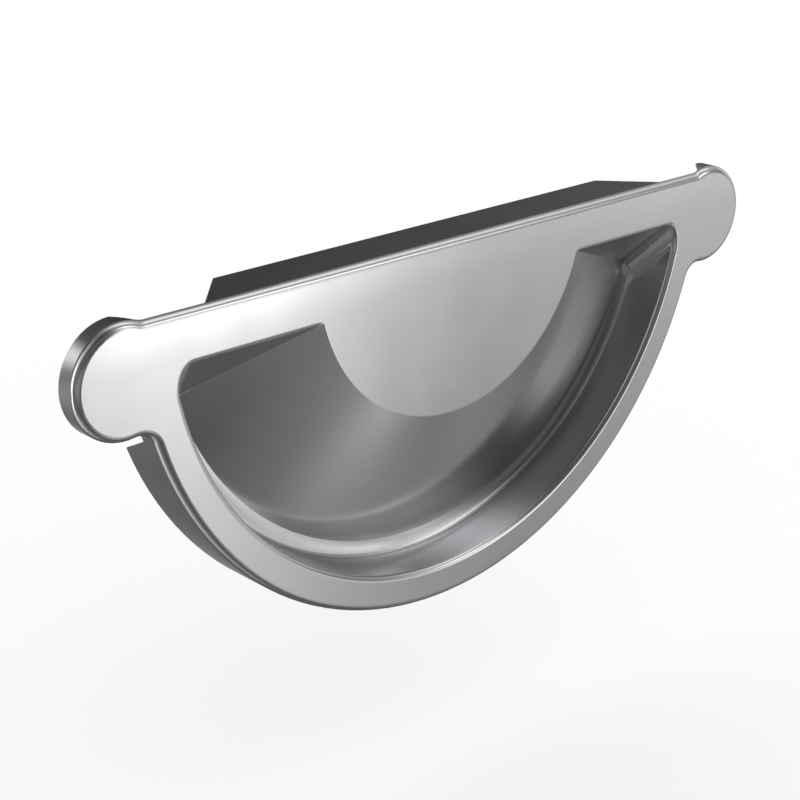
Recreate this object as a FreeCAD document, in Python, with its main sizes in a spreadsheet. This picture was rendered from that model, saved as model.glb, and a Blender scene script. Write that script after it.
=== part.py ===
import FreeCAD, Part
import os
import Sketcher
from math import atan2, pi
from FreeCAD import Rotation, Vector

# Gutter end cap for a half-round steel gutter, pressed from one sheet of steel.
# Frame: +Y runs into the gutter along its axis, +Z is up, +X is to the right seen from outside.
# The origin is on the gutter's axis, at the inner face of the cap's flat rim.
# The sheet is the front form less the same form set in by the sheet's thickness,
# so its walls, folds and corners have a front radius and a back radius round one centre.

doc = FreeCAD.newDocument("GutterEndCap")

# Driving dimensions, in millimetres and degrees
SIZES = (
    ("sheet", 0.6, "thickness of the steel sheet"),
    ("gutter_radius", 75.0, "outside radius of the gutter"),
    ("fit_gap", 0.4, "clearance round the gutter inside the skirt, and round a bead inside its lobe"),
    ("bend_inside", 0.9, "inside radius of the bend from the face to the skirt"),
    ("skirt_depth", 11.5, "depth of the round skirt and the top flange behind the front of the face"),
    ("top_drop", 0.4, "drop of the straight top edge below the gutter's axis"),
    ("bead_radius", 9.7, "outside radius of the gutter's rolled beads"),
    ("bead_offset", 3.2, "distance by which each bead's centre lies outside the gutter's radius"),
    ("bead_drop", 10.3, "drop of the beads' centres below the gutter's axis"),
    ("lobe_depth", 4.5, "depth of the skirt round the lobes"),
    ("throat_radius", 3.8, "outside radius of the inner corner between a lobe and the round skirt"),
    ("shoulder_radius", 4.0, "outside radius where a lobe rises from the straight top edge"),
    ("relief_depth", 1.5, "depth left of the top edge between the flange and a lobe"),
    ("flange_gap", 16.9, "distance from a bead's centre to the end of the top flange at its bend"),
    ("flange_bevel", 9.6, "length by which each end of the top flange is cut back at its free edge"),
    ("flange_shift", 1.0, "distance of the top flange's middle to the right of the cap's middle"),
    ("lobe_skirt_lead", 2.9, "distance inside a bead's centre at which its lobe's skirt starts"),
    ("skirt_end_gap", 13.5, "drop of the round skirt's ends below the beads' centres"),
    ("skirt_end_rake", 3.6, "further drop of the round skirt's end at its back edge"),
    ("trim_corner", 0.8, "radius of the trimmed sheet's corners"),
    ("rim_width", 6.2, "distance from the recess's edge to the gutter's radius, before the folds"),
    ("recess_depth", 9.6, "depth of the recess below the front of the face"),
    ("recess_draft", 5.4, "draft of the recess's round wall"),
    ("floor_width", 4.3, "distance from the cone's foot to the recess's edge, before the folds"),
    ("tongue_radius", 35.8, "radius of the half-round tongue, before the fold"),
    ("recess_drop", 9.6, "drop of the recess's top edge below the gutter's axis, before the fold"),
    ("top_wall_lean", 46.8, "angle of the recess's top wall to the gutter's axis"),
    ("mouth_fold", 1.2, "front radius of the fold round the recess's mouth"),
    ("recess_corner", 3.8, "front radius of the corner between the top wall and the round wall"),
    ("crease_fold", 0.8, "front radius of the creases between the recess's top wall and its cone"),
    ("floor_bevel", 0.7, "front leg of the narrow bevel round the recess's floor"),
    ("overrun", 2.0, "length by which a tool runs past what it cuts"),
)
sheet = doc.addObject("Spreadsheet::Sheet", "sizes")
for row, (alias, value, meaning) in enumerate(SIZES, start=1):
    sheet.set(f"A{row}", meaning)
    sheet.set(f"B{row}", str(value))
    sheet.setAlias(f"B{row}", alias)
doc.recompute()

# Sizes that follow from the driving ones
SKIRT_RADIUS = "(sizes.gutter_radius + sizes.fit_gap + sizes.sheet)"
LOBE_RADIUS = "(sizes.bead_radius + sizes.fit_gap + sizes.sheet)"
BEND_RADIUS = "(sizes.bend_inside + sizes.sheet)"
BEAD_REACH = "(sizes.gutter_radius + sizes.bead_offset)"
FLANGE_REACH = f"({BEAD_REACH} - sizes.flange_gap)"
LOBE_SKIRT_REACH = f"({BEAD_REACH} - sizes.lobe_skirt_lead)"
SKIRT_END_DROP = "(sizes.bead_drop + sizes.skirt_end_gap)"
RECESS_RADIUS = "(sizes.gutter_radius - sizes.rim_width)"
CONE_FOOT = f"({RECESS_RADIUS} - sizes.floor_width)"
CONE_ANGLE = f"atan(sizes.recess_depth / ({CONE_FOOT} - sizes.tongue_radius))"
TOOL_REACH = f"({BEAD_REACH} + {LOBE_RADIUS} + sizes.overrun)"
FORM_DEPTH = "(sizes.skirt_depth + sizes.recess_depth)"
CLEAR_DEPTH = f"({FORM_DEPTH} + sizes.overrun)"

# Two places on one line are the same within this distance
TOUCH = 1e-3

# The points of a sketch's lines and arcs, and the sketch's own origin, as its constraints number them
START, END, CENTRE = 1, 2, 3
ORIGIN = (-1, 1)


def size(expression):
    """The present value of an expression on the sheet's cells."""
    return float(sheet.evalExpression(expression))


def new_sketch(body, name, role):
    """A sketch on one of its own body's origin planes."""
    sketch = body.newObject("Sketcher::SketchObject", name)
    plane = next(item for item in body.Origin.OriginFeatures if item.Role == role)
    sketch.AttachmentSupport = [(plane, "")]
    sketch.MapMode = "FlatFace"
    return sketch


def bind(sketch, kind, *place, to):
    """A dimension of a sketch that follows an expression."""
    index = sketch.addConstraint(Sketcher.Constraint(kind, *place, size(to)))
    sketch.setExpression(f"Constraints[{index}]", to)


def arc(sketch, centre, radius, start_towards, end_towards):
    """An anticlockwise arc round a centre, which starts and ends towards two points."""
    def angle(point):
        return atan2(point.y - centre.y, point.x - centre.x)
    start, end = angle(start_towards), angle(end_towards)
    ring = Part.Circle(centre, Vector(0, 0, 1), radius)
    return sketch.addGeometry(Part.ArcOfCircle(ring, start, end if end > start else end + 2 * pi), False)


def mirrored(point):
    return Vector(-point.x, point.y, 0)


def outside_both(first, first_distance, second, second_distance):
    """The lower of the two points that lie at given distances from two centres."""
    between = second - first
    along = (first_distance ** 2 - second_distance ** 2 + between.Length ** 2) / (2 * between.Length)
    across = (first_distance ** 2 - along ** 2) ** 0.5
    direction = between / between.Length
    return first + direction * along + Vector(direction.y, -direction.x, 0) * across


def polygon(sketch, corners):
    """A closed run of straight lines, with each corner tied to two expressions."""
    points = [Vector(size(across), size(up), 0) for across, up in corners]
    lines = [sketch.addGeometry(Part.LineSegment(start, end), False)
             for start, end in zip(points, points[1:] + points[:1])]
    for line, following, (across, up) in zip(lines, lines[1:] + lines[:1], corners):
        sketch.addConstraint(Sketcher.Constraint("Coincident", line, END, following, START))
        bind(sketch, "DistanceX", *ORIGIN, line, START, to=across)
        bind(sketch, "DistanceY", *ORIGIN, line, START, to=up)


def pad(body, name, sketch, length, backwards=False, both_ways=False):
    feature = body.newObject("PartDesign::Pad", name)
    feature.Profile = sketch
    feature.Reversed = backwards
    feature.Midplane = both_ways
    feature.setExpression("Length", length)
    doc.recompute()
    return feature


def cut_through(body, name, sketch):
    """A pocket that runs right through the body, both ways from its sketch."""
    feature = body.newObject("PartDesign::Pocket", name)
    feature.Profile = sketch
    feature.Type = "ThroughAll"
    feature.Midplane = True
    doc.recompute()
    return feature


def turned(body, kind, name, profile):
    """A full turn of a profile round the gutter's axis, added or cut away."""
    feature = body.newObject(f"PartDesign::{kind}", name)
    feature.Profile = profile
    feature.ReferenceAxis = (profile, ["V_Axis"])
    feature.Angle = 360
    doc.recompute()
    return feature


def cut(name, base, tool):
    feature = doc.addObject("Part::Cut", name)
    feature.Base = base
    feature.Tool = tool
    doc.recompute()
    return feature


def ends(edge):
    """The first and last point of an edge."""
    return edge.Vertexes[0].Point, edge.Vertexes[-1].Point


def from_axis(point):
    """Distance of a point from the gutter's axis."""
    return (point.x ** 2 + point.z ** 2) ** 0.5


def lies_at_depth(edge, depth):
    return all(abs(point.y - depth) < TOUCH for point in (*ends(edge), edge.CenterOfMass))


def round_edges(body, name, base, wanted, radius):
    """Round those edges of a feature that pass the test, all with one radius."""
    picked = [f"Edge{number}" for number, edge in enumerate(base.Shape.Edges, start=1) if wanted(edge)]
    feature = body.newObject("PartDesign::Fillet", name)
    feature.Base = (base, picked)
    feature.setExpression("Radius", radius)
    doc.recompute()
    return feature


def outline_form(name, inset):
    """The cap with no recess: a half disc and two round lobes, rounded over at the front."""
    body = doc.addObject("PartDesign::Body", name)
    outline = new_sketch(body, f"{name}_sketch", "XZ_Plane")
    outline.setExpression(".AttachmentOffset.Base.z", f"-({inset})")

    skirt_radius, lobe_radius = f"{SKIRT_RADIUS} - {inset}", f"{LOBE_RADIUS} - {inset}"
    throat_radius, shoulder_radius = f"sizes.throat_radius + {inset}", f"sizes.shoulder_radius + {inset}"
    top = f"-(sizes.top_drop + {inset})"

    axis = Vector(0, 0, 0)
    bead = Vector(size(BEAD_REACH), -size("sizes.bead_drop"), 0)
    throat = outside_both(axis, size(f"{skirt_radius} + {throat_radius}"),
                          bead, size(f"{lobe_radius} + {throat_radius}"))
    rise = size(f"{top} + {shoulder_radius}") - bead.y
    reach = (size(f"{lobe_radius} + {shoulder_radius}") ** 2 - rise ** 2) ** 0.5
    shoulder = Vector(bead.x - reach, bead.y + rise, 0)

    skirt = arc(outline, axis, size(skirt_radius), mirrored(throat), throat)
    edge = outline.addGeometry(Part.LineSegment(Vector(shoulder.x, size(top), 0),
                                                Vector(-shoulder.x, size(top), 0)), False)
    outline.addConstraint(Sketcher.Constraint("Coincident", skirt, CENTRE, *ORIGIN))
    bind(outline, "Radius", skirt, to=skirt_radius)
    outline.addConstraint(Sketcher.Constraint("Horizontal", edge))
    bind(outline, "DistanceY", *ORIGIN, edge, START, to=top)

    below = Vector(0, -1, 0)
    right = (arc(outline, throat, size(throat_radius), bead, axis),
             arc(outline, bead, size(lobe_radius), throat, shoulder),
             arc(outline, shoulder, size(shoulder_radius), shoulder + below, bead))
    left = (arc(outline, mirrored(throat), size(throat_radius), axis, mirrored(bead)),
            arc(outline, mirrored(bead), size(lobe_radius), mirrored(shoulder), mirrored(throat)),
            arc(outline, mirrored(shoulder), size(shoulder_radius), mirrored(bead),
                mirrored(shoulder) + below))
    for arcs, near, far, side in (right, START, END, ""), (left, END, START, "-"):
        throat_arc, lobe_arc, shoulder_arc = arcs
        for joint in ((skirt, far, throat_arc, far), (throat_arc, near, lobe_arc, near),
                      (lobe_arc, far, shoulder_arc, far), (shoulder_arc, near, edge, near)):
            outline.addConstraint(Sketcher.Constraint("Tangent", *joint))
        bind(outline, "Radius", throat_arc, to=throat_radius)
        bind(outline, "Radius", lobe_arc, to=lobe_radius)
        bind(outline, "Radius", shoulder_arc, to=shoulder_radius)
        bind(outline, "DistanceX", *ORIGIN, lobe_arc, CENTRE, to=f"{side}{BEAD_REACH}")
        bind(outline, "DistanceY", *ORIGIN, lobe_arc, CENTRE, to="-sizes.bead_drop")
    block = pad(body, f"{name}_block", outline, FORM_DEPTH, backwards=True)
    round_edges(body, f"{name}_edge_bend", block, lambda edge: lies_at_depth(edge, size(inset)),
                f"{BEND_RADIUS} - {inset}")
    return body


def recess_form(name, inset):
    """The space of the recess: a ring with a drafted wall, a flat floor and a cone, under a sloped top."""
    body = doc.addObject("PartDesign::Body", name)

    def wall(depth):
        return (f"{RECESS_RADIUS} - ({depth}) * tan(sizes.recess_draft)"
                f" + {inset} / cos(sizes.recess_draft)")

    def cone(depth):
        return f"sizes.tongue_radius + ({depth}) / tan({CONE_ANGLE}) - {inset} / sin({CONE_ANGLE})"

    def top_wall(depth):
        return (f"-sizes.recess_drop - ({depth}) * tan(sizes.top_wall_lean)"
                f" + {inset} / cos(sizes.top_wall_lean)")

    front, floor = "-sizes.overrun", f"sizes.recess_depth + {inset}"
    profile = new_sketch(body, f"{name}_profile", "XY_Plane")
    polygon(profile, [(cone(front), front), (wall(front), front),
                      (wall(floor), floor), (cone(floor), floor)])
    turned(body, "Revolution", f"{name}_ring", profile)

    before, behind = "-2 * sizes.overrun", f"sizes.recess_depth + {inset} + sizes.overrun"
    above = new_sketch(body, f"{name}_above_top_wall", "YZ_Plane")
    polygon(above, [(before, top_wall(before)), (behind, top_wall(behind)),
                    (behind, TOOL_REACH), (before, TOOL_REACH)])
    lower = cut_through(body, f"{name}_lower_half", above)

    normal = Rotation(Vector(1, 0, 0), -size("sizes.top_wall_lean")).multVec(Vector(0, 0, 1))
    on_top_wall = Vector(0, 0, size(top_wall("0")))
    wall_foot = size(f"({CONE_FOOT} + {RECESS_RADIUS}) / 2")

    def is_side_of_top_wall(edge):
        points = (*ends(edge), edge.CenterOfMass)
        in_plane = all(abs((point - on_top_wall).dot(normal)) < TOUCH for point in points)
        return in_plane and abs(points[0].y - points[1].y) > size("sizes.recess_depth / 2")

    def is_wall_corner(edge):
        foot = max(ends(edge), key=lambda point: point.y)
        return is_side_of_top_wall(edge) and from_axis(foot) > wall_foot

    corners = round_edges(body, f"{name}_corners", lower, is_wall_corner,
                          f"sizes.recess_corner + {inset}")
    round_edges(body, f"{name}_creases", corners, is_side_of_top_wall,
                f"sizes.crease_fold + {inset}")
    leg = f"(sizes.floor_bevel + {inset} * (2 - sqrt(2)))"
    bevel_top, beyond = f"{floor} - {leg}", f"{RECESS_RADIUS} + sizes.overrun"
    bevel = new_sketch(body, f"{name}_bevel_profile", "XY_Plane")
    polygon(bevel, [(f"{wall(floor)} - {leg}", floor), (wall(bevel_top), bevel_top), (beyond, bevel_top),
                    (beyond, behind), (f"{wall(floor)} - {leg}", behind)])
    turned(body, "Groove", f"{name}_floor_bevel", bevel)
    return body


def fold_mouth(name, base, inset):
    """The fold round the recess's mouth, down the rim, along the top and round the tongue."""
    radius = size(f"sizes.mouth_fold - {inset}")
    depth = size(inset)
    top_height = size(f"-sizes.recess_drop - {inset} * tan(sizes.top_wall_lean)"
                      f" + {inset} / cos(sizes.top_wall_lean)")
    rim_radius = size(f"{RECESS_RADIUS} - {inset} * tan(sizes.recess_draft)"
                      f" + {inset} / cos(sizes.recess_draft)")

    def is_mouth(edge):
        return lies_at_depth(edge, depth) and all(
            point.z < top_height + TOUCH and from_axis(point) < rim_radius + TOUCH for point in ends(edge))

    folded = doc.addObject("Part::Fillet", name)
    folded.Base = base
    folded.Edges = [(number, radius, radius)
                    for number, edge in enumerate(base.Shape.Edges, start=1) if is_mouth(edge)]
    doc.recompute()
    return folded


def pressed_form(name, inset):
    """The whole form that one side of the sheet follows."""
    dished = cut(f"{name}_dished", outline_form(f"{name}_outline", inset),
                 recess_form(f"{name}_recess", inset))
    return fold_mouth(f"{name}_folded", dished, inset)


def top_relief():
    """What is trimmed from the top edge: all round the bevelled flange and behind the lobes."""
    body = doc.addObject("PartDesign::Body", "top_relief")
    plan = new_sketch(body, "top_relief_plan", "XY_Plane")

    def half(side):
        flange_end = f"{side} * {FLANGE_REACH} + sizes.flange_shift"
        return [(f"{flange_end} - {side} * sizes.flange_bevel", "sizes.skirt_depth"),
                (flange_end, "sizes.relief_depth"),
                (f"{side} * {LOBE_SKIRT_REACH}", "sizes.relief_depth"),
                (f"{side} * ({LOBE_SKIRT_REACH} + sizes.lobe_depth - sizes.relief_depth)",
                 "sizes.lobe_depth"),
                (f"{side} * {TOOL_REACH}", "sizes.lobe_depth"),
                (f"{side} * {TOOL_REACH}", CLEAR_DEPTH)]

    polygon(plan, half("1") + half("-1")[::-1])
    block = pad(body, "top_relief_block", plan, "sizes.recess_drop", both_ways=True)
    flange_zone = size(LOBE_SKIRT_REACH) - TOUCH

    def is_flange_root(edge):
        first, last = ends(edge)
        upright = abs(first.x - last.x) + abs(first.y - last.y) < TOUCH
        return upright and abs(first.x) < flange_zone and abs(first.y - size("sizes.relief_depth")) < TOUCH

    round_edges(body, "top_relief_roots", block, is_flange_root, "sizes.trim_corner")
    return body


def side_relief():
    """What is trimmed behind the lobes and behind the round skirt with its raked ends."""
    body = doc.addObject("PartDesign::Body", "side_relief")
    side = new_sketch(body, "side_relief_profile", "YZ_Plane")
    polygon(side, [("sizes.lobe_depth", f"-{SKIRT_END_DROP}"),
                   ("sizes.skirt_depth", f"-({SKIRT_END_DROP} + sizes.skirt_end_rake)"),
                   ("sizes.skirt_depth", f"-{TOOL_REACH}"), (CLEAR_DEPTH, f"-{TOOL_REACH}"),
                   (CLEAR_DEPTH, "sizes.overrun"), ("sizes.lobe_depth", "sizes.overrun")])
    pad(body, "side_relief_block", side, f"2 * {TOOL_REACH}", both_ways=True)

    kept = new_sketch(body, "side_relief_kept_recess", "XZ_Plane")
    radius = "(sizes.gutter_radius - sizes.rim_width / 2)"
    ring = kept.addGeometry(Part.Circle(Vector(0, 0, 0), Vector(0, 0, 1), size(radius)), False)
    kept.addConstraint(Sketcher.Constraint("Coincident", ring, CENTRE, *ORIGIN))
    bind(kept, "Radius", ring, to=radius)
    cut_through(body, "side_relief_round_recess", kept)
    return body


def round_trim(base):
    """Round the trimmed sheet's corners at its back edge, on the top flange and the round skirt."""
    radius = size("sizes.trim_corner")
    rounded = doc.addObject("Part::Fillet", "end_cap")
    rounded.Base = base
    back, short = size("sizes.skirt_depth"), size("2 * sizes.sheet")
    rounded.Edges = [(number, radius, radius) for number, edge in enumerate(base.Shape.Edges, start=1)
                     if lies_at_depth(edge, back) and edge.Length < short]
    doc.recompute()
    return rounded


# The pressed sheet, trimmed to its outline
pressing = cut("pressing", pressed_form("front", "0"), pressed_form("back", "sizes.sheet"))
trimmed = cut("trimmed_top", pressing, top_relief())
sharp_corners = cut("trimmed_sides", trimmed, side_relief())
end_cap = round_trim(sharp_corners)
end_cap.Label = "pressed_end_cap"
end_cap.setExpression("Placement.Base.y", "-sizes.sheet")
doc.recompute()

# Every object and the finished piece are sound before anything is written
for item in doc.Objects:
    if "Invalid" in item.State or "Error" in item.State:
        raise RuntimeError(f"{item.Name} failed: {item.State}")
shape = end_cap.Shape
if shape.isNull() or not shape.isValid() or len(shape.Solids) != 1:
    raise RuntimeError(f"{end_cap.Label} is not one sound solid")

os.makedirs("parts", exist_ok=True)
shape.exportStep(f"parts/{end_cap.Label}.step")
box = shape.optimalBoundingBox()
print(f"{end_cap.Label}: {shape.Volume:.0f} mm3, x {box.XMin:.2f} {box.XMax:.2f},"
      f" y {box.YMin:.2f} {box.YMax:.2f}, z {box.ZMin:.2f} {box.ZMax:.2f}")
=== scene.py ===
from math import cos, hypot, pi, radians, sin, tan
from statistics import median

import bmesh
import bpy
from mathutils import Matrix, Vector


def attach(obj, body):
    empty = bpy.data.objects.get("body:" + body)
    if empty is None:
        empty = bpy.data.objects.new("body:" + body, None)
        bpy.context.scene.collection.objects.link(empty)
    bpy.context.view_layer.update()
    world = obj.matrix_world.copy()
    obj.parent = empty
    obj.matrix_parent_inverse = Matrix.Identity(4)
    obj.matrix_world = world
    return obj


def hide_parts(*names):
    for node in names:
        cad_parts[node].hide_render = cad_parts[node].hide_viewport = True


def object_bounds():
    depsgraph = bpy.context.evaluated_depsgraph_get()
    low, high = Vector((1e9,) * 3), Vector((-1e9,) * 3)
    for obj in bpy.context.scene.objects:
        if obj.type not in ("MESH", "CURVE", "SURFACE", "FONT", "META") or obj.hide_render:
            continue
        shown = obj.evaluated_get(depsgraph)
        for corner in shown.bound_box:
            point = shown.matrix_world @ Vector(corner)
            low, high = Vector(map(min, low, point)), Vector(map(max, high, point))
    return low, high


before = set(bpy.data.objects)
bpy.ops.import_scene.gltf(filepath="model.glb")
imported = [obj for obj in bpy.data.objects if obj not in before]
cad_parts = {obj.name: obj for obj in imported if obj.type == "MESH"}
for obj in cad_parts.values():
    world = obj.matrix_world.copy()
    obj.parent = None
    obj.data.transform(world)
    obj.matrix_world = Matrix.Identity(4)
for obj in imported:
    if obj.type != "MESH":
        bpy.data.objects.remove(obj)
CAD_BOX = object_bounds()

MM = 0.001
CAP_NODE = "pressed_end_cap"


def linear(hex_colour):
    """The linear colour of an sRGB hex value."""
    channels = [int(hex_colour[start:start + 2], 16) / 255 for start in (1, 3, 5)]
    straight = [c / 12.92 if c <= 0.04045 else ((c + 0.055) / 1.055) ** 2.4 for c in channels]
    return (*straight, 1.0)


def node(tree, kind, values=(), links=(), **settings):
    """Add a node, set its properties and its sockets' values, and link other nodes' outputs to it."""
    made = tree.nodes.new(kind)
    for name, setting in settings.items():
        setattr(made, name, setting)
    for socket, value in dict(values).items():
        made.inputs[socket].default_value = value
    for socket, output in dict(links).items():
        tree.links.new(output, made.inputs[socket])
    return made


# Camera, at the photograph's viewing angle: where it stands, from which side it looks and how it leans
CAMERA_PLACE = Vector((-253.4, -247.3, 104.5)) * MM
CAMERA_AZIMUTH = radians(-44.014)
CAMERA_ELEVATION = radians(21.349)
CAMERA_LEAN = radians(0.86)
LENS_MM = 86.56
SENSOR_MM = 36.0
NEAREST_SEEN = 10 * MM


def add_camera():
    data = bpy.data.cameras.new("camera")
    data.lens = LENS_MM
    data.sensor_width = SENSOR_MM
    data.clip_start = NEAREST_SEEN
    camera = bpy.data.objects.new("camera", data)
    bpy.context.collection.objects.link(camera)
    aim = Matrix.Rotation(CAMERA_AZIMUTH, 4, "Z") @ Matrix.Rotation(pi / 2 - CAMERA_ELEVATION, 4, "X")
    lean = Matrix.Rotation(CAMERA_LEAN, 4, "Z")
    camera.matrix_world = Matrix.Translation(CAMERA_PLACE) @ aim @ lean
    bpy.context.scene.camera = camera


# The pressed sheet: its box gives the face's front and the skirt's back, and the rim's inner face is at 0
FACE_FRONT = CAD_BOX[0][1]
SKIRT_BACK = CAD_BOX[1][1]
SHEET = -FACE_FRONT
GUTTER_RADIUS = 75 * MM
RIM_WIDTH = 6.2 * MM
RECESS_DEPTH = 9.6 * MM
RECESS_DRAFT = radians(5.4)
FLOOR_WIDTH = 4.3 * MM

# How near two points count as one, how near a point is on a shape, how even a flat face is,
# and how sharp an edge stays a crease
MERGE = 0.002 * MM
NEAR = 0.01 * MM
SAME_PLANE = radians(0.05)
SHARP_ANGLE = radians(50)

# The crease where the cone leaves the recess's floor
RECESS_RADIUS = GUTTER_RADIUS - RIM_WIDTH
CONE_FOOT_RADIUS = RECESS_RADIUS - FLOOR_WIDTH
FLOOR_LEVEL = FACE_FRONT + RECESS_DEPTH

# The fold round the recess's mouth: the radii of its front and its back, the ring that it turns about,
# how far it runs to both sides of the lowest point, and a height just above its ends
FRONT_FOLD = 1.2 * MM
BACK_FOLD = FRONT_FOLD - SHEET
MOUTH_RADIUS = RECESS_RADIUS + FRONT_FOLD * (1 / cos(RECESS_DRAFT) - tan(RECESS_DRAFT))
MOUTH_LEVEL = FACE_FRONT + FRONT_FOLD
MOUTH_REACH = radians(73.12)
MOUTH_TOP = -19.9 * MM
MOUTH_ROWS = 14
MOUTH_COLUMNS = 128

# The face's upper band, which rolls gently back towards the top edge
BAND_FOOT = -9.6 * MM
BAND_TOP = -1.1 * MM
BAND_TILT = radians(2.5)
BAND_STRIPS = 12
BAND_ENDS = (-70 * MM, 70 * MM)

# Rings of points round the gutter's axis, which share one normal each
RING_TOP = -18 * MM
RING_STEP = 0.02 * MM
RING_LEAST = 40
RING_REACH = radians(40)


def from_axis(point):
    return hypot(point.x, point.z)


def outward(point):
    """The direction straight away from the gutter's axis."""
    return Vector((point.x, 0, point.z)).normalized()


def at_cone_foot(edge):
    return all(abs(vert.co.y - FLOOR_LEVEL) < NEAR and abs(from_axis(vert.co) - CONE_FOOT_RADIUS) < NEAR
               for vert in edge.verts)


def from_mouth_ring(point):
    """How far a point lies from the ring that the mouth's fold turns about: away from the gutter's axis,
    and along it."""
    return from_axis(point) - MOUTH_RADIUS, point.y - MOUTH_LEVEL


def on_mouth_fold(point, fold):
    """Whether a point lies on the round of the mouth's fold that has this radius."""
    out, deep = from_mouth_ring(point)
    return (point.z < MOUTH_TOP and out < NEAR and deep < NEAR - fold * sin(RECESS_DRAFT)
            and abs(hypot(out, deep) - fold) < NEAR)


def renew_mouth_fold(work, fold):
    """Draw one side of the fold round the recess's mouth again, with even rows and columns."""
    uneven = [face for face in work.faces if all(on_mouth_fold(vert.co, fold) for vert in face.verts)]
    bmesh.ops.delete(work, geom=uneven, context="FACES")
    kept = set(work.faces)
    section = []
    for row in range(MOUTH_ROWS + 1):
        turn = pi / 2 + (RECESS_DRAFT - pi / 2) * row / MOUTH_ROWS
        radius = MOUTH_RADIUS - fold * cos(turn)
        level = MOUTH_LEVEL - fold * sin(turn)
        section.append(work.verts.new((-radius * sin(MOUTH_REACH), level, -radius * cos(MOUTH_REACH))))
    lines = [work.edges.new(pair) for pair in zip(section, section[1:])]
    bmesh.ops.spin(work, geom=section + lines, cent=(0, 0, 0), axis=(0, 1, 0), angle=-2 * MOUTH_REACH,
                   steps=MOUTH_COLUMNS)
    renewed = [face for face in work.faces if face not in kept]
    work.normal_update()
    faces_front = renewed[0].normal.y < 0
    if faces_front != (fold == FRONT_FOLD):
        bmesh.ops.reverse_faces(work, faces=renewed)


def flat_faces(work):
    """The polygons of the sheet's flat face, on its front and its back."""
    return [face for face in work.faces
            if abs(face.normal.y) > cos(SAME_PLANE) and all(vert.co.y < NEAR for vert in face.verts)]


def roll_band(work):
    """Cut the face's upper band into strips and roll it back a little towards the top edge."""
    flat = set(flat_faces(work))
    inner = [edge for edge in work.edges if len(edge.link_faces) == 2 and flat.issuperset(edge.link_faces)]
    bmesh.ops.dissolve_limit(work, angle_limit=SAME_PLANE, edges=inner, verts=[])
    height = BAND_TOP - BAND_FOOT
    cuts = [((0, 0, BAND_FOOT + height * step / BAND_STRIPS), (0, 0, 1)) for step in range(BAND_STRIPS)]
    cuts += [((end, 0, 0), (1, 0, 0)) for end in BAND_ENDS]
    for place, across in cuts:
        flat = flat_faces(work)
        edges = {edge for face in flat for edge in face.edges}
        verts = {vert for face in flat for vert in face.verts}
        bmesh.ops.bisect_plane(work, geom=[*verts, *edges, *flat], dist=NEAR, plane_co=place,
                               plane_no=across)
    for vert in work.verts:
        climb = (vert.co.z - BAND_FOOT) / height
        if climb > 0:
            roll = tan(BAND_TILT) * height * climb ** 3 / 3
            vert.co.y += roll * (SKIRT_BACK - vert.co.y) / (SKIRT_BACK - FACE_FRONT)


def weighted_normals(cap):
    """The normal at each face's corner, in which a large face counts for more than a small one."""
    weighted = cap.modifiers.new("even_shading", "WEIGHTED_NORMAL")
    weighted.mode = "FACE_AREA"
    weighted.keep_sharp = True
    shaded = cap.evaluated_get(bpy.context.evaluated_depsgraph_get()).data
    normals = [corner.vector.copy() for corner in shaded.corner_normals]
    cap.modifiers.remove(weighted)
    return normals


def even_rings(mesh, normals):
    """Give each ring of points round the gutter's axis one normal, so that what the folds mirror runs
    evenly along them."""
    creased = {index for edge in mesh.edges if edge.use_edge_sharp for index in edge.vertices}
    rings = {}
    for loop in mesh.loops:
        point = mesh.vertices[loop.vertex_index].co
        if point.z < RING_TOP and loop.vertex_index not in creased:
            ring = round(from_axis(point) / RING_STEP), round(point.y / RING_STEP)
            rings.setdefault(ring, []).append((loop.index, outward(point)))
    for ring in rings.values():
        if len(ring) < RING_LEAST:
            continue
        out = median(normals[index].dot(away) for index, away in ring)
        deep = median(normals[index].y for index, _ in ring)
        for index, away in ring:
            even = (away * out + Vector((0, deep, 0))).normalized()
            if even.dot(normals[index]) > cos(RING_REACH):
                normals[index] = even


def round_mouth(mesh, normals):
    """Point the normals on the mouth's fold away from the ring that it turns about, and on the sheet's
    back towards it."""
    for loop in mesh.loops:
        point = mesh.vertices[loop.vertex_index].co
        for fold, side in (FRONT_FOLD, 1), (BACK_FOLD, -1):
            if on_mouth_fold(point, fold):
                out, deep = from_mouth_ring(point)
                normals[loop.index] = (outward(point) * out + Vector((0, deep, 0))).normalized() * side


# The coating: its two silvers, its grain and the slow changes of its roughness over the pressed sheet.
# The real grain, about 0.1 mm, is finer than the render can show, so it is drawn coarser.
SILVERS = ("#cbcbcd", "#d1d1d3")
GRAIN_SIZE = 0.35 * MM
GRAIN_DEPTH = 0.002 * MM
GRAIN_STRENGTH = 0.5
CLOUD_SIZE = 14 * MM
CLOUD_SPREAD = (0.3, 0.7)
ROUGHNESS_SPREAD = (0.14, 0.18)

# The Mix node has several pairs of sockets with the same names: these are its colours and their result
MIX_COLOURS = (6, 7)
MIX_RESULT = 2


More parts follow.
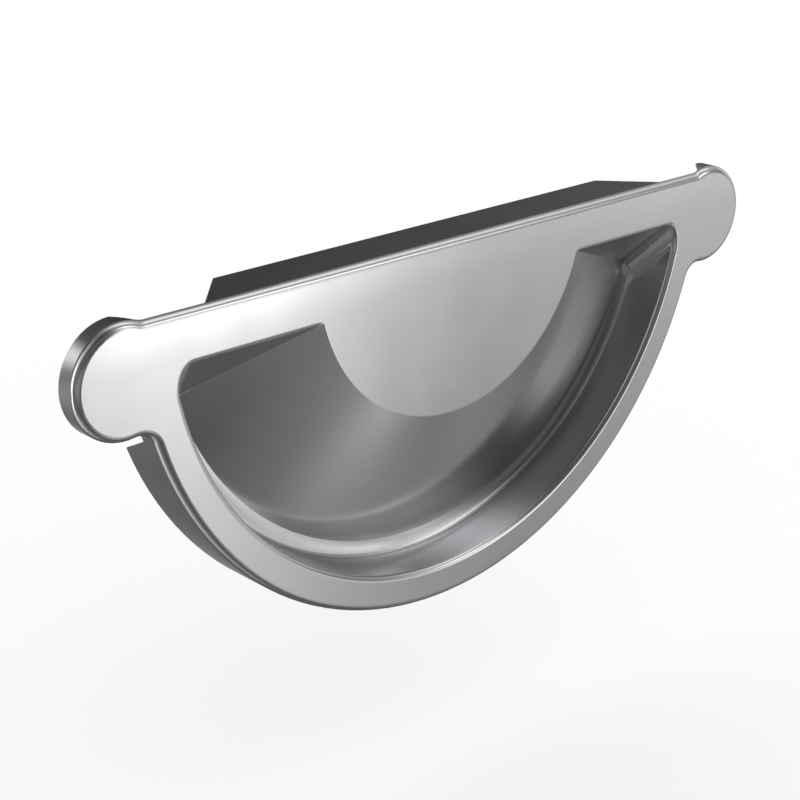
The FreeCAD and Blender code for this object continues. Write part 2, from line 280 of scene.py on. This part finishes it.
def coated_steel():
    """Satin silver coating over pressed steel. Its fine grain softens what the metal mirrors and varies
    its tone a little, and slow changes of gloss keep the large faces from looking flat."""
    material = bpy.data.materials.new("coated_steel")
    material.use_nodes = True
    tree = material.node_tree
    tree.nodes.clear()
    place = node(tree, "ShaderNodeTexCoord").outputs["Object"]
    grain = node(tree, "ShaderNodeTexNoise", values={"Scale": 1 / GRAIN_SIZE, "Detail": 3.0},
                 links={"Vector": place})
    cloud = node(tree, "ShaderNodeTexNoise", values={"Scale": 1 / CLOUD_SIZE, "Detail": 2.0},
                 links={"Vector": place})
    roughness = node(tree, "ShaderNodeMapRange", links={"Value": cloud.outputs["Fac"]}, values={
        "From Min": CLOUD_SPREAD[0], "From Max": CLOUD_SPREAD[1],
        "To Min": ROUGHNESS_SPREAD[0], "To Max": ROUGHNESS_SPREAD[1]})
    tone = node(tree, "ShaderNodeMix", data_type="RGBA", links={"Factor": grain.outputs["Fac"]},
                values={socket: linear(silver) for socket, silver in zip(MIX_COLOURS, SILVERS)})
    relief = node(tree, "ShaderNodeBump", values={"Strength": GRAIN_STRENGTH, "Distance": GRAIN_DEPTH},
                  links={"Height": grain.outputs["Fac"]})
    shader = node(tree, "ShaderNodeBsdfPrincipled", values={"Metallic": 1.0}, links={
        "Base Color": tone.outputs[MIX_RESULT], "Roughness": roughness.outputs["Result"],
        "Normal": relief.outputs["Normal"]})
    node(tree, "ShaderNodeOutputMaterial", links={"Surface": shader.outputs["BSDF"]})
    return material


def add_cap():
    """A smooth-shaded copy of the cap's own mesh, which stands for it."""
    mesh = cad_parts[CAP_NODE].data.copy()
    cap = bpy.data.objects.new("cap_sheet", mesh)
    bpy.context.collection.objects.link(cap)
    work = bmesh.new()
    work.from_mesh(mesh)
    bmesh.ops.remove_doubles(work, verts=work.verts, dist=MERGE)
    roll_band(work)
    renew_mouth_fold(work, FRONT_FOLD)
    renew_mouth_fold(work, BACK_FOLD)
    work.normal_update()
    for face in work.faces:
        face.smooth = True
    for edge in work.edges:
        edge.smooth = edge.calc_face_angle(0.0) < SHARP_ANGLE and not at_cone_foot(edge)
    work.to_mesh(mesh)
    work.free()
    normals = weighted_normals(cap)
    even_rings(mesh, normals)
    round_mouth(mesh, normals)
    mesh.normals_split_custom_set(normals)
    mesh.materials.clear()
    mesh.materials.append(coated_steel())
    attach(cap, "root")
    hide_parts(CAP_NODE)


# The studio's soft lights, as the metal sees them: azimuth from the front towards the right, elevation,
# half width and half height, all in degrees, then the tilt in degrees and the strength
STUDIO_LIGHTS = {
    "front_key": (38, -16, 4, 5, -72, 0.95),
    "front_right": (52, -11, 6, 8, -30, 0.6),
    "front_low": (28, -41, 4, 22, 59, 0.3),
    "front_strip": (35, -3, 6, 26, 2, 1.8),
    "front_high": (43, 28, 14, 4, -72, 2.5),
    "front_above": (-1, 30, 8, 63, -82, 0.15),
    "front_fill": (-25, -10, 40, 18, 0, 0.3),
    "left_high": (-64, 57, 5, 15, -18, 0.5),
    "left_upper": (-91, 26, 17, 31, -31, 0.75),
    "left_strip": (-97, -6, 6, 35, 2, 3.9),
    "right_high": (84, 57, 16, 27, -27, 1.4),
    "right_side": (93, 9, 13, 37, -41, 0.8),
    "floor_left": (-92, -62, 34, 26, -47, 0.45),
    "floor_right": (64, -27, 42, 14, -62, 0.25),
    "back_left": (-152, 20, 10, 14, 13, 1.4),
    "back_fill": (170, -22, 50, 16, 0, 0.5),
}
STUDIO_DARK = 0.033


def add_studio_light(tree, direction, before, azimuth, elevation, wide, high, tilt, strength):
    """One soft light, an oval that fades outwards, added to the light that comes before it."""
    turn, lift, lean = radians(azimuth), radians(elevation), radians(tilt)
    middle = Vector((cos(lift) * sin(turn), -cos(lift) * cos(turn), sin(lift)))
    level = Vector((cos(turn), sin(turn), 0.0))
    upward = middle.cross(level)
    across = (level * cos(lean) + upward * sin(lean)) / radians(wide)
    along = (upward * cos(lean) - level * sin(lean)) / radians(high)
    towards, side, up = (
        node(tree, "ShaderNodeVectorMath", operation="DOT_PRODUCT", values={1: axis}, links={0: direction})
        for axis in (middle, across, along))
    up_squared = node(tree, "ShaderNodeMath", operation="MULTIPLY",
                      links={0: up.outputs["Value"], 1: up.outputs["Value"]})
    distance = node(tree, "ShaderNodeMath", operation="MULTIPLY_ADD", links={
        0: side.outputs["Value"], 1: side.outputs["Value"], 2: up_squared.outputs["Value"]})
    inward = node(tree, "ShaderNodeMath", operation="MULTIPLY", values={1: -1.0},
                  links={0: distance.outputs["Value"]})
    fade = node(tree, "ShaderNodeMath", operation="EXPONENT", links={0: inward.outputs["Value"]})
    ahead = node(tree, "ShaderNodeMath", operation="GREATER_THAN", values={1: 0.0},
                 links={0: towards.outputs["Value"]})
    shape = node(tree, "ShaderNodeMath", operation="MULTIPLY",
                 links={0: fade.outputs["Value"], 1: ahead.outputs["Value"]})
    light = node(tree, "ShaderNodeMath", operation="MULTIPLY_ADD", values={1: strength},
                 links={0: shape.outputs["Value"], 2: before})
    return light.outputs["Value"]


def add_studio():
    """White for the camera and the floor, and soft lights in a dim room for the metal."""
    world = bpy.data.worlds.new("studio")
    world.use_nodes = True
    bpy.context.scene.world = world
    tree = world.node_tree
    tree.nodes.clear()
    direction = node(tree, "ShaderNodeTexCoord").outputs["Generated"]
    light = node(tree, "ShaderNodeValue").outputs["Value"]
    light.default_value = STUDIO_DARK
    for measures in STUDIO_LIGHTS.values():
        light = add_studio_light(tree, direction, light, *measures)
    mirrored = node(tree, "ShaderNodeBackground", values={"Color": (1, 1, 1, 1)}, links={"Strength": light})
    white = node(tree, "ShaderNodeBackground", values={"Color": (1, 1, 1, 1), "Strength": 1.0})
    ray = node(tree, "ShaderNodeLightPath")
    choice = node(tree, "ShaderNodeMixShader", links={
        0: ray.outputs["Is Glossy Ray"], 1: white.outputs["Background"], 2: mirrored.outputs["Background"]})
    node(tree, "ShaderNodeOutputWorld", links={"Surface": choice.outputs["Shader"]})


# The pale floor, a little below the cap, which hangs in its mount: its height, how far it reaches to each
# side in metres, and the share of the light that it gives back
FLOOR_HEIGHT = -115 * MM
FLOOR_REACH = 6.0
FLOOR_WHITE = 0.8


def matt_white_floor():
    """Matt white studio paper. What it keeps back of the light on it is given back to the camera alone, so
    that it looks white apart from the cap's shadow."""
    material = bpy.data.materials.new("matt_white_floor")
    material.use_nodes = True
    tree = material.node_tree
    tree.nodes.clear()
    white = (FLOOR_WHITE, FLOOR_WHITE, FLOOR_WHITE, 1)
    paper = node(tree, "ShaderNodeBsdfDiffuse", values={"Color": white})
    ray = node(tree, "ShaderNodeLightPath")
    lift = node(tree, "ShaderNodeMath", operation="MULTIPLY", values={1: 1 - FLOOR_WHITE},
                links={0: ray.outputs["Is Camera Ray"]})
    glow = node(tree, "ShaderNodeEmission", links={"Strength": lift.outputs["Value"]})
    both = node(tree, "ShaderNodeAddShader", links={0: paper.outputs["BSDF"], 1: glow.outputs["Emission"]})
    node(tree, "ShaderNodeOutputMaterial", links={"Surface": both.outputs["Shader"]})
    return material


def add_floor():
    mesh = bpy.data.meshes.new("studio_floor")
    work = bmesh.new()
    bmesh.ops.create_grid(work, x_segments=1, y_segments=1, size=FLOOR_REACH,
                          matrix=Matrix.Translation((0, 0, FLOOR_HEIGHT)))
    work.to_mesh(mesh)
    work.free()
    mesh.materials.append(matt_white_floor())
    floor = bpy.data.objects.new("studio_floor", mesh)
    bpy.context.collection.objects.link(floor)
    floor.visible_glossy = False


add_camera()
add_cap()
add_studio()
add_floor()
bpy.context.scene.view_settings.view_transform = "Standard"
